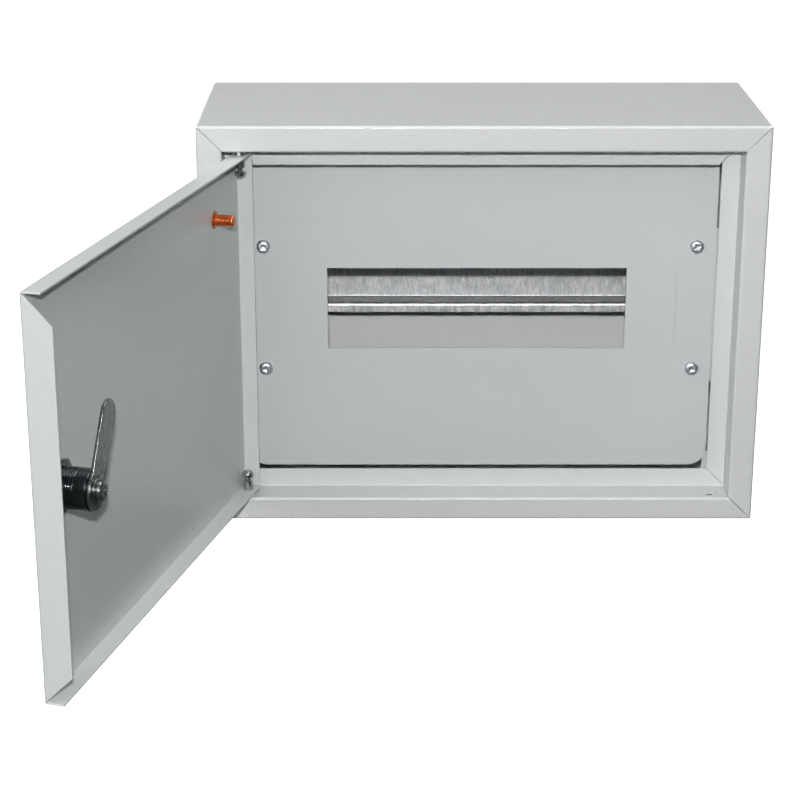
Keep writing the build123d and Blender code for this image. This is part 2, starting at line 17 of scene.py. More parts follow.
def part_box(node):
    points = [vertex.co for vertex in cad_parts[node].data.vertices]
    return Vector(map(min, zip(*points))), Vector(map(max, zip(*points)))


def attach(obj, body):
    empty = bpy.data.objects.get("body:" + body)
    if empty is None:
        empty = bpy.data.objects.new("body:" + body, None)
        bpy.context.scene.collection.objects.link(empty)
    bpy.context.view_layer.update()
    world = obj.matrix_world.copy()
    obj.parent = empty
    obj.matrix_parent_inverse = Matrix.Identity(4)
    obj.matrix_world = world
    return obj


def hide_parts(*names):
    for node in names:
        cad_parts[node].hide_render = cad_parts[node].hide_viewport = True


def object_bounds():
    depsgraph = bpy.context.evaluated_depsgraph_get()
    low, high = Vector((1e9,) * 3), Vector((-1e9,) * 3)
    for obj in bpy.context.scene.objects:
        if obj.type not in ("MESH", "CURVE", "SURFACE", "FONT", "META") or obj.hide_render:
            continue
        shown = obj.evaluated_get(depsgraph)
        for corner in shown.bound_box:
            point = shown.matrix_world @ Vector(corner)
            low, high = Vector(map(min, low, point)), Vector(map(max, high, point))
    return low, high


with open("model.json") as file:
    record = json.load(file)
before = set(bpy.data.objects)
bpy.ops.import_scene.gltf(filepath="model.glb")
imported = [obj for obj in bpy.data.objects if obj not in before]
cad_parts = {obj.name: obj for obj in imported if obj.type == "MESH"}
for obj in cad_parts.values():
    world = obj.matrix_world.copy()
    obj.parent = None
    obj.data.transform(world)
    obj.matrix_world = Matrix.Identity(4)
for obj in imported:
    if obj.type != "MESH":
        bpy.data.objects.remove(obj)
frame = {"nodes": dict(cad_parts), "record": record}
cad_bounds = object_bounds()
nodes = frame["nodes"]
MM = 0.001

# %% [markdown]
# ## The camera first
# The camera could be placed by trial. Solving it from the box's own straight edges is safer,
# because a long lens hides small errors of height until the door is added. It stands about
# 1.2 m in front of the wall face, a little left of the middle, and looks down 19.4 degrees.

# %% Camera
camera_data = bpy.data.cameras.new("studio_camera")
camera_data.sensor_width = 36.0
camera_data.lens = 94.36
camera_data.clip_start = 0.05
camera = bpy.data.objects.new("studio_camera", camera_data)
camera.location = (-0.04376, -1.19069, 0.33659)
camera.rotation_euler = (math.radians(70.614), 0.0, 0.0)
bpy.context.scene.collection.objects.link(camera)
bpy.context.scene.camera = camera
print("camera at", tuple(round(v, 3) for v in camera.location))

# %% [markdown]
# ## Studio light
# The product stands in a white sweep. Many small lamps could light it, but sheet metal reads
# best when most of the light comes from one direction near the lens: every fold then carries
# a fine bright line, and every step throws a thin crisp shadow just below itself. A small
# lamp above the camera does that. So near a lamp would light the open door's edge far more
# than the box, so its light is set to fall off linearly, as if it stood further away. A wide
# panel overhead fills the top and the recess floor, two panels at the left open the right
# hand folds, one behind keeps the back readable, and a dim even sky lifts the rest.

# %% Lights and sky


def soft_box(name, place, target, size, watts, tint=(1.0, 1.0, 1.0)):
    """A rectangular area light that looks at a target point."""
    data = bpy.data.lights.new(name, "AREA")
    data.shape = "RECTANGLE"
    data.size, data.size_y = size
    data.energy = watts
    data.color = tint
    lamp = bpy.data.objects.new(name, data)
    lamp.location = place
    aim = Vector(target) - Vector(place)
    lamp.rotation_euler = aim.to_track_quat("-Z", "Y").to_euler()
    bpy.context.scene.collection.objects.link(lamp)
    return lamp


# Watts balanced so that the front reads lighter than the top, and the door's inside darkest.
middle = (0.0, -0.1, 0.0)
key = soft_box("key", (-0.044, -1.19, 0.425), middle, (0.035, 0.035), 9.45, (1.0, 0.995, 0.99))
key.data.use_nodes = True
lamp_nodes = key.data.node_tree
reach = lamp_nodes.nodes.new("ShaderNodeLightFalloff")
reach.inputs["Strength"].default_value = 1.0
lamp_nodes.links.new(reach.outputs["Linear"], lamp_nodes.nodes["Emission"].inputs["Strength"])
soft_box("overhead", (0.0, 0.05, 1.5), (0.0, 0.0, 0.0), (1.9, 1.2), 21.0, (1.0, 1.0, 0.98))
soft_box("side", (-1.9, -1.7, 0.5), middle, (1.2, 1.2), 15.0, (0.98, 0.99, 1.0))
behind = soft_box("behind", (-0.9, 2.2, 0.15), middle, (1.2, 1.2), 12.0)
behind.visible_glossy = False
soft_box("high_side", (-1.2, -1.5, 1.6), middle, (1.2, 1.2), 9.7, (0.98, 0.99, 1.0))

sky = bpy.data.worlds.new("studio_sky")
sky.use_nodes = True
sky.node_tree.nodes["Background"].inputs["Color"].default_value = (0.93, 0.965, 1.0, 1.0)
sky.node_tree.nodes["Background"].inputs["Strength"].default_value = 0.073
bpy.context.scene.world = sky
bpy.context.scene.view_settings.view_transform = "Standard"

# %% [markdown]
# ## The white sweep
# Paper that curves up behind the product has no horizon. It is a dish here, so that it works
# from every side. It glows a little, to stay white far from the lamps, but that glow would
# fill every shadow on the door: the sweep is therefore hidden from the rays that light the
# metal, and only the camera sees it.

# %% White sweep
FLOOR_DROP = 0.30
SWEEP_RINGS = ((0.0, 0.0), (5.0, 0.0), (7.0, 0.35), (8.3, 1.5), (9.0, 3.5), (9.0, 9.0))
SWEEP_SIDES = 48
floor_level = cad_bounds[0][2] - FLOOR_DROP
bm = bmesh.new()
rings = []
for reach, rise in SWEEP_RINGS:
    turns = [2 * math.pi * side / SWEEP_SIDES for side in range(SWEEP_SIDES)]
    ring = [
        bm.verts.new((reach * math.cos(t), reach * math.sin(t), floor_level + rise)) for t in turns
    ]
    rings.append(ring)
for inner, outer in zip(rings, rings[1:]):
    for side in range(SWEEP_SIDES):
        after = (side + 1) % SWEEP_SIDES
        bm.faces.new((inner[side], outer[side], outer[after], inner[after]))
bmesh.ops.remove_doubles(bm, verts=bm.verts, dist=0.0001)
floor_mesh = bpy.data.meshes.new("floor")
bm.to_mesh(floor_mesh)
bm.free()
floor_mesh.shade_smooth()
floor = bpy.data.objects.new("floor", floor_mesh)
bpy.context.scene.collection.objects.link(floor)
floor.visible_diffuse = False
floor.visible_glossy = False
floor.visible_shadow = False
print("floor at", round(floor_level, 3))

# %% [markdown]
# ## Shader maths as Python
# A material is a graph, and a graph typed node by node is hard to read. A small class that
# wraps one socket lets an expression such as `1 - mask` add the Math node it needs. Every
# other node comes from one method that takes a type, its settings and its inputs.

# %% Socket class


class Value:
    """One output socket in a material, usable in ordinary arithmetic."""

    def __init__(self, coat, socket):
        self.coat = coat
        self.socket = socket

    def _math(self, operation, first, second):
        settings = {"operation": operation, "use_clamp": False}
        return self.coat.node("ShaderNodeMath", settings, {0: first, 1: second})

    def __add__(self, other):
        return self._math("ADD", self, other)

    def __radd__(self, other):
        return self._math("ADD", other, self)

    def __sub__(self, other):
        return self._math("SUBTRACT", self, other)

    def __rsub__(self, other):
        return self._math("SUBTRACT", other, self)

    def __mul__(self, other):
        return self._math("MULTIPLY", self, other)

    def __rmul__(self, other):
        return self._math("MULTIPLY", other, self)


class Coat:
    """A material under construction, ending in one Principled shader."""

    def __init__(self, name, **constants):
        self.material = bpy.data.materials.new(name)
        self.material.use_nodes = True
        self.tree = self.material.node_tree
        self.shader = self.tree.nodes["Principled BSDF"]
        for socket, number in constants.items():
            self.shader.inputs[socket.replace("_", " ")].default_value = number

    def node(self, kind, settings=None, inputs=None, output=0):
        """Adds a node of any kind: its settings first, then a link or value per socket."""
        made = self.tree.nodes.new(kind)
        for key, setting in (settings or {}).items():
            setattr(made, key, setting)
        for key, given in (inputs or {}).items():
            self.join(given, made.inputs[key])
        return Value(self, made.outputs[output])

    def join(self, given, socket):
        if isinstance(given, Value):
            self.tree.links.new(given.socket, socket)
        else:
            socket.default_value = given

    def feed(self, **links):
        """Links values to the shader and hands back the finished material."""
        for socket, given in links.items():
            self.join(given, self.shader.inputs[socket.replace("_", " ")])
        return self.material

    def place(self, stretch=(1.0, 1.0, 1.0)):
        """Object coordinates, stretched along the axes where a finish has a direction."""
        found = self.node("ShaderNodeTexCoord", output=3)
        return self.node("ShaderNodeMapping", None, {"Vector": found, "Scale": stretch})

    def noise(self, place, scale, detail=2.0, rough=0.5):
        sizes = {"Vector": place, "Scale": scale, "Detail": detail, "Roughness": rough}
        return self.node("ShaderNodeTexNoise", None, sizes)

    def steps(self, value, low, high):
        """Runs smoothly from 0 at low to 1 at high."""
        settings = {"interpolation_type": "SMOOTHSTEP"}
        span = {"Value": value, "From Min": low, "From Max": high}
        return self.node("ShaderNodeMapRange", settings, span)

    def blend(self, factor, first, second):
        settings = {"data_type": "RGBA"}
        return self.node("ShaderNodeMix", settings, {0: factor, 6: first, 7: second}, output=2)

    def edge(self, radius):
        """1 on an outer or inner edge and 0 on open faces, from a rounded-off normal."""
        rounded = self.node("ShaderNodeBevel", {"samples": 4}, {"Radius": radius})
        true = self.node("ShaderNodeNewGeometry", output=1)
        settings = {"operation": "DOT_PRODUCT"}
        agree = self.node("ShaderNodeVectorMath", settings, {0: rounded, 1: true}, output=1)
        return self.steps(1 - agree, 0.02, 0.2)

    def bump(self, height, strength, distance):
        inputs = {"Strength": strength, "Distance": distance, "Height": height}
        return self.node("ShaderNodeBump", None, inputs)


def tone(colour, factor):
    """A colour made lighter or darker, with the alpha that sockets expect."""
    return tuple(min(1.0, part * factor) for part in colour) + (1.0,)


print("shader helpers ready")

# %% [markdown]
# ## Powder coat
# Powder is sprayed dry and melted on, so it flows into a skin with a fine orange peel, about
# a millimetre from crest to crest. Flat grey and good lights would nearly do, but the peel is
# what breaks the bright line on each fold into small sparks. Two noises make it: the peel, and
# a much finer grain. The coat draws back from sharp edges as it melts, so they turn out a
# shade lighter and glossier, and clouding of a few percent keeps wide faces from looking cut
# out of paper.

# %% Powder coat


def powder_coat(name, colour, peel, gloss):
    """Semi-gloss sprayed coat with orange peel, faint clouding and thin edges."""
    coat = Coat(name, IOR=1.5)
    spot = coat.place()
    cloud = coat.noise(spot, 9.0, 3.0)
    drift = coat.noise(spot, 70.0, 2.0)
    bead = coat.noise(spot, 640.0, 1.5, 0.45)
    grain = coat.noise(spot, 2400.0, 1.0)
    worn = coat.edge(0.0005)
    shade = cloud * 0.6 + drift * 0.25 + grain * 0.15
    skin = coat.blend(shade, tone(colour, 0.955), tone(colour, 1.04))
    return coat.feed(
        Base_Color=coat.blend(worn * 0.5, skin, tone(colour, 1.12)),
        Roughness=gloss + drift * 0.08 - bead * 0.06 - worn * 0.05,
        Normal=coat.bump(bead + grain * 0.15, peel, 0.0003),
    )


LIGHT_GREY = (0.56, 0.578, 0.574)
DOOR_GREY = (0.535, 0.56, 0.56)
COVER_GREY = (0.515, 0.545, 0.547)
paints = {
    "body_paint": powder_coat("body_powder_coat", LIGHT_GREY, 0.95, 0.3),
    "door_paint": powder_coat("door_powder_coat", DOOR_GREY, 0.5, 0.3),
    "cover_paint": powder_coat("cover_powder_coat", COVER_GREY, 0.25, 0.36),
}
print("paints", sorted(paints))

# %% [markdown]
# ## Metals and plastics
# Zinc plate, galvanised strip, copper flash, brass and the lock's dark chrome differ more in
# how they scatter light than in colour. A single shader with a colour slider could serve them
# all, but each one's marks have their own grain: a mottled sheen on plated pieces, fine lines
# round turned ones, and streaked crystals on the rail where the strip was drawn and dipped.

# %% Metals and plastics


def plated_metal(name, colour, rough, stretch=(1.0, 1.0, 1.0), depth=0.25):
    """Bare or plated metal with a mottled sheen, fine marks and rubbed edges."""
    coat = Coat(name, Metallic=1.0)
    spot = coat.place(stretch)
    mottling = coat.noise(spot, 260.0, 3.0, 0.6)
    marks = coat.noise(spot, 1700.0, 2.0)
    worn = coat.edge(0.0003)
    skin = coat.blend(mottling, tone(colour, 0.84), tone(colour, 1.08))
    return coat.feed(
        Base_Color=coat.blend(worn * 0.6, skin, tone(colour, 1.35)),
        Roughness=rough + mottling * 0.08 + marks * 0.06 - worn * 0.04,
        Normal=coat.bump(marks, depth, 0.00006),
    )


def galvanised_strip(name):
    """Zinc dipped strip: bright and dull crystals drawn into streaks, painted shade on ledges."""
    coat = Coat(name, Metallic=1.0)
    settings = {"feature": "F1"}
    cells = {"Vector": coat.place((1.0, 1.0, 0.35)), "Scale": 520.0, "Randomness": 1.0}
    crystal = coat.node("ShaderNodeTexVoronoi", settings, cells, output=1)
    grey = coat.node("ShaderNodeRGBToBW", None, {"Color": crystal})
    streak = coat.steps(coat.noise(coat.place((1.0, 1.0, 0.28)), 780.0, 4.0, 0.7), 0.36, 0.66)
    patch = coat.noise(coat.place(), 60.0, 2.0)
    # Upward faces turn near black: painted shade on the rail's ledges, not a coat that the zinc
    # has.
    facing = coat.node("ShaderNodeNewGeometry", output=1)
    upward = coat.node("ShaderNodeSeparateXYZ", None, {"Vector": facing}, output=2)
    painted_ledge_shade = coat.steps(upward, 0.75, 0.97)
    light = grey * 0.35 + streak * 0.35 + patch * 0.3
    zinc = coat.blend(light, (0.4, 0.425, 0.44, 1.0), (1.0, 1.0, 1.0, 1.0))
    return coat.feed(
        Base_Color=coat.blend(painted_ledge_shade, zinc, (0.06, 0.062, 0.06, 1.0)),
        Roughness=0.38 + grey * 0.1 + streak * 0.12,
        Normal=coat.bump(streak + grey * 0.6, 0.35, 0.0001),
    )


def moulded(name, colour, rough):
    """Injection moulded plastic with a fine spark-eroded grain."""
    coat = Coat(name)
    spot = coat.place()
    grain = coat.noise(spot, 3200.0, 2.0)
    cloud = coat.noise(spot, 40.0, 2.0)
    worn = coat.edge(0.0004)
    skin = coat.blend(cloud, tone(colour, 0.93), tone(colour, 1.06))
    return coat.feed(
        Base_Color=coat.blend(worn * 0.4, skin, tone(colour, 1.3)),
        Roughness=rough + grain * 0.1,
        Normal=coat.bump(grain, 0.3, 0.00005),
    )


ROUND = (1.0, 1.0, 6.0)
ALONG_BAR = (0.1, 1.0, 1.0)
paints["galvanised"] = galvanised_strip("galvanised_strip")
paints["zinc_screw"] = plated_metal("bright_zinc", (0.78, 0.81, 0.84), 0.34)
paints["pin_steel"] = plated_metal("turned_pin", (0.42, 0.46, 0.46), 0.16, ROUND)
paints["brass"] = plated_metal("terminal_brass", (0.78, 0.60, 0.30), 0.26, ALONG_BAR)
paints["copper_plated"] = plated_metal("copper_flash", (0.82, 0.25, 0.09), 0.3, depth=0.05)
paints["lock_chrome"] = plated_metal("lock_dark_chrome", (0.085, 0.1, 0.104), 0.12)
paints["cam_steel"] = plated_metal("cam_zinc", (0.25, 0.275, 0.262), 0.21, (1.0, 1.0, 0.4))
paints["blue_plastic"] = moulded("blue_moulding", (0.04, 0.17, 0.55), 0.45)
paints["green_plastic"] = moulded("green_moulding", (0.07, 0.36, 0.12), 0.45)
paints["nylon"] = moulded("natural_nylon", (0.78, 0.78, 0.74), 0.5)

floor_coat = Coat("white_sweep", Base_Color=(0.9, 0.9, 0.9, 1.0), Roughness=0.9)
floor_coat.shader.inputs["Emission Color"].default_value = (1.0, 1.0, 1.0, 1.0)
floor_coat.shader.inputs["Emission Strength"].default_value = 0.92
floor_mesh.materials.append(floor_coat.material)
print("materials", len(paints))

# %% [markdown]
# ## One way into the frame
# Every piece made below stands in for a node of the mechanical model. It could be registered
# by hand each time, but a helper that looks up the node's body and finish leaves no room for
# a slip: the piece rides where its node rides, and takes the finish that its node has.

# %% Registering a piece
record = frame["record"]
finish_of = {part["node"]: part["material_slot"] for part in record["subparts"]}
body_of = {
    node: body for body, members in record["behaviour"]["bodies"].items() for node in members
}
SHARP = math.radians(38.0)
made_pieces = []


def stand_in(name, mesh, *covered):
    """Links a mesh as a piece that takes the place of the covered nodes."""
    mesh.name = name
    mesh.shade_smooth()
    mesh.set_sharp_from_angle(angle=SHARP)
    finish = finish_of[covered[0]]
    mesh.materials.clear()
    mesh.materials.append(paints[finish])
    piece = bpy.data.objects.new(name, mesh)
    bpy.context.scene.collection.objects.link(piece)
    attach(piece, body_of[covered[0]])
    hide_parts(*covered)
    made_pieces.append(piece)
    return piece


def finished_mesh(bm):
    """Closes seams and poles, turns faces outward and leaves bmesh."""
    bmesh.ops.remove_doubles(bm, verts=bm.verts, dist=0.000002)
    bmesh.ops.recalc_face_normals(bm, faces=bm.faces)
    mesh = bpy.data.meshes.new("blank")
    bm.to_mesh(mesh)
    bm.free()
    return mesh


print("finishes", len(finish_of))

# %% [markdown]
# ## Sheet metal with real edges
# The walls, the door, the cover and the rail are right in shape, but their edges are
# mathematically sharp and their folds are made of flat strips. Rounding each by hand would
# take a day. Instead, a copy of each node is welded into one skin, flat areas are merged, and
# a Bevel modifier rounds only what is sharper than 50 degrees, which is every cut edge and
# none of the folds. Weighted normals then keep wide faces flat and let folds shade smoothly.

# %% Rounded copies


def welded_copy(name):
    """A node's mesh as one skin."""
    bm = bmesh.new()
    bm.from_mesh(nodes[name].data)
    bmesh.ops.remove_doubles(bm, verts=bm.verts, dist=0.000002)
    return bm


def eased_copy(name, edge, segments=2):
    """Stands in for a node with a copy whose cut edges are rounded by edge millimetres."""
    mesh = bpy.data.meshes.new(name)
    bm = welded_copy(name)
    flat = math.radians(0.5)
    bmesh.ops.dissolve_limit(bm, angle_limit=flat, verts=bm.verts, edges=bm.edges)
    bm.to_mesh(mesh)
    bm.free()
    piece = stand_in(name + "_eased", mesh, name)
    rounding = piece.modifiers.new("rounded_edges", "BEVEL")
    rounding.width = edge * MM
    rounding.segments = segments
    rounding.limit_method = "ANGLE"
    rounding.angle_limit = math.radians(50.0)
    rounding.use_clamp_overlap = False
    rounding.miter_outer = "MITER_ARC"
    flatness = piece.modifiers.new("flat_stays_flat", "WEIGHTED_NORMAL")
    flatness.keep_sharp = True
    flatness.weight = 80
    return piece


PAINTED_EDGE = 0.2
SEAM_EDGE = 0.03
for sheet in ("back_panel", "top_wall", "bottom_wall", "left_wall", "right_wall"):
    eased_copy(sheet, SEAM_EDGE)
for sheet in ("door_panel", "cover_bracket_left", "cover_bracket_right", "corner_stops"):
    eased_copy(sheet, PAINTED_EDGE)
eased_copy("din_rail", 0.15)
eased_copy("rail_support", 0.2)
for bar in ("neutral_bar", "earth_bar"):
    eased_copy(bar, 0.12)
for stand in ("neutral_holders", "earth_holders"):
    eased_copy(stand, 0.3)
eased_copy("holder_screws", 0.1)
print("eased pieces", len(made_pieces))

# %% [markdown]
# ## The cover and its blanks
# A blank at each end of the window can be broken out for more devices. The press scores it
# nearly through, and the powder runs into the cut, so on the real cover the outline is only a
# faint groove. The mechanical model has open slots there. They could be painted over in the
# material, but filling each slot with a strip that sits a little below the face gives a true
# groove that any light can catch.

# %% Cover plate
GROOVE = 0.1
SLOT = 0.25
WINDOW = {"x": -1.6, "z": 0.65, "wide": 164.0, "high": 46.0}
BLANK = 27.5
TAB = 2.5
cover_low, cover_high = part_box("cover_plate")


def filler(bm, x_low, x_high, z_low, z_high):
    """A closed strip inside a slot, sunk below the front face and flush at the back."""
    slim = 0.01
    size = (x_high - x_low - slim, 1.0, z_high - z_low - slim)
    deep = (cover_high.y - cover_low.y) / MM - GROOVE
    middle = ((x_low + x_high) / 2, cover_high.y / MM - deep / 2, (z_low + z_high) / 2)
    shape = Matrix.Diagonal((size[0] * MM, deep * MM, size[2] * MM, 1.0))
    spot = Matrix.Translation([part * MM for part in middle])
    bmesh.ops.create_cube(bm, size=1.0, matrix=spot @ shape)


cover = eased_copy("cover_plate", 0.08)
bm = bmesh.new()
bm.from_mesh(cover.data)
run = (BLANK - 2 * TAB) / 2
z_top = WINDOW["z"] + WINDOW["high"] / 2
z_bottom = WINDOW["z"] - WINDOW["high"] / 2
for side in (-1, 1):
    near = WINDOW["x"] + side * WINDOW["wide"] / 2
    far = near + side * BLANK
    filler(bm, far - SLOT / 2, far + SLOT / 2, z_bottom, z_top)
    for start in (TAB, 2 * TAB + run):
        ends = sorted((near + side * start, near + side * (start + run)))
        filler(bm, ends[0], ends[1], z_top - SLOT, z_top)
        filler(bm, ends[0], ends[1], z_bottom, z_bottom + SLOT)
bm.to_mesh(cover.data)
bm.free()
print("cover faces", len(cover.data.polygons))

# %% [markdown]
# ## Turned pieces
# Pins, studs, washers, nuts and the lock barrel all come off a lathe, so one helper spins an
# outline of radius and height round an axis. A Screw modifier could do the same, but a
# function that may bend the radius at every angle also gives true screw threads and the six
# flats of a nut, from the same few lines.

# %% Lathe


def lathe(outline, origin, axis, steps=72, bend=None, closed=False):
    """Spins (radius, height) points in millimetres round an axis; bend(r, h, turn) reshapes."""
    axis = Vector(axis).normalized()
    side = axis.orthogonal().normalized()
    across = axis.cross(side)
    bm = bmesh.new()
    rings = []
    for radius, height in outline:
        ring = []
        for step in range(steps):
            turn = step / steps
            reach = bend(radius, height, turn) if bend else radius
            angle = 2 * math.pi * turn
            arm = side * math.cos(angle) + across * math.sin(angle)
            ring.append(bm.verts.new(Vector(origin) + (axis * height + arm * reach) * MM))
        rings.append(ring)
    pairs = list(zip(rings, rings[1:]))
    if closed:
        pairs.append((rings[-1], rings[0]))
    for lower, upper in pairs:
        for step in range(steps):
            after = (step + 1) % steps
            bm.faces.new((lower[step], lower[after], upper[after], upper[step]))
    return finished_mesh(bm)


def rounded(outline, radius, cuts=4):
    """The same outline with its inner corners eased by short curves."""
    result = [outline[0]]
    for before, corner, after in zip(outline, outline[1:], outline[2:]):
        corner = Vector(corner)
        arms = [Vector(before) - corner, Vector(after) - corner]
        ends = [corner + arm * min(radius / max(arm.length, 1e-6), 0.45) for arm in arms]
        for cut in range(cuts + 1):
            t = cut / cuts
            spot = ends[0] * (1 - t) ** 2 + corner * 2 * t * (1 - t) + ends[1] * t**2
            result.append(tuple(spot))
    result.append(outline[-1])
    return result


FLANKS = 0.65
THREAD_ROWS = 12


def threaded(low, high, pitch, depth):
    """A bend for lathe() that cuts V grooves with flat crests between two heights."""

    def bend(radius, height, turn):
        if radius < 0.5 or not low < height < high:
            return radius
        phase = (height / pitch + turn) % 1.0
        groove = max(0.0, 1 - abs(2 * phase - 1) / FLANKS)
        fade = min(1.0, (height - low) / pitch, (high - height) / pitch)
        return radius - depth * groove * fade

    return bend


def thread_rows(radius, low, high, pitch):
    """Outline points close enough together to carry a thread."""
    count = round((high - low) / pitch * THREAD_ROWS)
    return [(radius, low + (high - low) * row / count) for row in range(count + 1)]


print("lathe ready")

# %% [markdown]
# ## The cam lock's barrel, nut and washer
# The barrel is a zinc casting with a dark chrome plate. Its first centimetre is threaded for
# the nut that clamps it in the door, and past that it is smooth up to the cam. Its round head
# shows on the outside of the door. The nut's corners are turned off at 30 degrees, which is
# what makes a bright arc on each flat.

# %% Barrel, nut and washer
lock_joint = next(j for j in record["behaviour"]["joints"] if j["name"] == "lock_turn")
lock_spot = Vector(lock_joint["pos_m"])
inward = Vector(lock_joint["axis"])
BARREL = 9.5
BORE = 6.05
HEAD = 11.3
HEAD_EASE, END_EASE = 1.2, 0.7
THREAD_END, BARREL_PITCH = 8.6, 1.25
DOOR_OUT, DOOR_IN = -5.0, -4.0
HEAD_FACE = -8.1
BARREL_END = 14.1
head_outline = [(BORE, BARREL_END), (BORE, HEAD_FACE), (HEAD, HEAD_FACE), (HEAD, DOOR_OUT)]
barrel_outline = rounded(head_outline + [(BARREL, DOOR_OUT)], HEAD_EASE)
barrel_outline += thread_rows(BARREL, DOOR_IN, THREAD_END, BARREL_PITCH)
end_outline = [(BARREL, THREAD_END + 0.2), (BARREL, BARREL_END), (BORE, BARREL_END)]
barrel_outline += rounded(end_outline, END_EASE)
barrel_cut = threaded(DOOR_IN, THREAD_END, BARREL_PITCH, 0.32)
barrel = lathe(barrel_outline, lock_spot, inward, 96, barrel_cut, closed=True)
stand_in("lock_barrel", barrel, "lock_housing")


def hexagon(across_flats, face_low, face_high, bore):
    """A bend for lathe() that gives a nut its flats and its turned-off corners."""
    flat = across_flats / 2

    def bend(radius, height, turn):
        if radius <= bore + 0.01:
            return radius
        slice_angle = (turn * 2 * math.pi) % (math.pi / 3) - math.pi / 6
        corner = flat / math.cos(slice_angle)
        inset = min(height - face_low, face_high - height)
        return min(corner, radius - flat + flat * 0.965 + inset * 1.73)

    return bend


def nut(across_flats, bore, low, high, origin, axis):
    """A hexagon nut between two heights on an axis."""
    flat = across_flats / 2
    rise = high - low
    rows = [low + rise * part for part in (0.0, 0.05, 0.1, 0.2, 0.35, 0.65, 0.8, 0.9, 0.95, 1.0)]
    outline = [(bore, low)] + [(flat, row) for row in rows] + [(bore, high)]
    return lathe(outline, origin, axis, 96, hexagon(across_flats, low, high, bore), closed=True)


def ring(inner, outer, low, high, origin, axis, ease=0.25):
    """A flat washer with rounded rims."""
    section = [(inner, low), (outer, low), (outer, high), (inner, high), (inner, low)]
    return lathe(rounded(section, ease), origin, axis, 64)


stand_in("lock_nut_hex", nut(24.0, BARREL + 0.03, DOOR_IN, 0.0, lock_spot, inward), "lock_nut")
washer = ring(2.1, 6.4, 15.8, 16.6, lock_spot, inward)
stand_in("cam_washer_ring", washer, "cam_washer")
print("barrel faces", len(barrel.polygons))

# %% [markdown]
# ## Plug, cam and cam screw
# The plug carries the key slot, and the cam is stamped from plated strip. A stamping has one
# rolled edge where the punch went in, so the cam gets a wider, rounder edge than the other
# flat pieces: it is this edge that catches the light all along the arm.

# %% Plug, cam and screw
eased_copy("lock_plug", 0.12)
eased_copy("lock_cam", 0.4, 3)
eased_copy("cam_screw", 0.18, 3)
print("lock pieces", [piece.name for piece in made_pieces[-3:]])

# %% [markdown]
# ## Hinge pins
# The door hangs on two turned pins pushed through its long flanges into the box. Each has a
# collar that seats on the flange, a waist for the fingers or a screwdriver, and a mushroom
# head. The waist is drawn as a hollow curve, because the bright and dark bands that it makes
# are what says turned metal at this size.

# %% Hinge pins
hinge_joint = next(j for j in record["behaviour"]["joints"] if j["name"] == "door_hinge")
hinge_spot = Vector(hinge_joint["pos_m"])
COLLAR, WAIST, MUSHROOM = 2.6, 1.25, 3.1
PIN_HEAD_END = 11.3


def pin_outline(tip):
    """From the shaft's tip, at a negative height, to the top of the head."""
    shaft = [(0.0, tip), (1.5, tip), (2.0, tip + 0.6), (2.0, 0.0), (COLLAR, 0.0), (COLLAR, 4.9)]
    waist = [
        (WAIST + (COLLAR - WAIST) * (1 - math.sin(math.pi / 2 * part / 6)), 5.2 + 0.25 * part)
        for part in range(7)
    ]
    flare = [
        (WAIST + (MUSHROOM - WAIST) * (part / 6) ** 2.2, 6.9 + 0.2 * part) for part in range(7)
    ]
    dome = [
        (MUSHROOM * math.cos(math.pi / 2 * part / 8), 8.6 + 2.7 * math.sin(math.pi / 2 * part / 8))
        for part in range(9)
    ]
    return rounded(shaft, 0.15, 2) + waist + flare + dome


for name, upward in (("upper_hinge_pin", 1.0), ("lower_hinge_pin", -1.0)):
    low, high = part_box(name)
    tip_z = high.z if upward > 0 else low.z
    head_z = low.z if upward > 0 else high.z
    length = abs(tip_z - head_z) / MM
    pin_axis = Vector((0.0, 0.0, -upward))
    seat = Vector((hinge_spot.x, hinge_spot.y, head_z + upward * PIN_HEAD_END * MM))
    pin = lathe(pin_outline(PIN_HEAD_END - length), seat, pin_axis, 48)
    stand_in(name.replace("hinge_pin", "turned_pin"), pin, name)
washer_low, washer_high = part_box("hinge_washer")
thickness = (washer_high.z - washer_low.z) / MM
base = Vector((hinge_spot.x, hinge_spot.y, washer_low.z))
spacer = ring(2.06, 3.9, 0.0, thickness, base, (0.0, 0.0, 1.0), 0.35)
stand_in("hinge_spacer", spacer, "hinge_washer")
print("pin faces", len(pin.polygons), "spacer", round(thickness, 2), "mm")

# %% [markdown]
# ## Earth studs
# A copper-flashed M6 stud is welded on the door and another in the box, for the earth wires.
# A plain rod would be enough from far away, but the eye finds the thread at once on a piece
# this bright, so the stud gets its real one-millimetre pitch, a flared foot and a thin weld
# fillet.

# %% Earth studs
STUD = 3.0


def stud_mesh(foot, foot_high, length, origin, axis):
    """A threaded stud on a flared foot; length runs from the sheet to the tip."""
    start = foot_high + 0.6
    stop = length - 0.6
    foot_outline = [(0.0, 0.0), (foot, 0.0), (foot, foot_high * 0.5), (STUD + 0.1, foot_high)]
    low_part = rounded(foot_outline, 0.3)
    rows = thread_rows(STUD, start, stop, 1.0)
    tip = rounded([(STUD - 0.1, stop + 0.05), (STUD - 0.55, length), (0.0, length)], 0.2)
    cut = threaded(start, stop + 0.5, 1.0, 0.6)
    return lathe(low_part + rows + tip, origin, axis, 64, cut)


stud_mount = next(m for m in record["mounts"] if m["name"] == "door_earth_stud")
stud_axis = Vector(stud_mount["axis"])
DOOR_STUD_LENGTH = 10.7
MIDDLE_TO_FOOT = 5.55
door_foot = Vector(stud_mount["pos_m"]) - stud_axis * MIDDLE_TO_FOOT * MM
door_stud = stud_mesh(4.7, 1.0, DOOR_STUD_LENGTH, door_foot, stud_axis)
stand_in("door_stud", door_stud, "door_earth_stud")

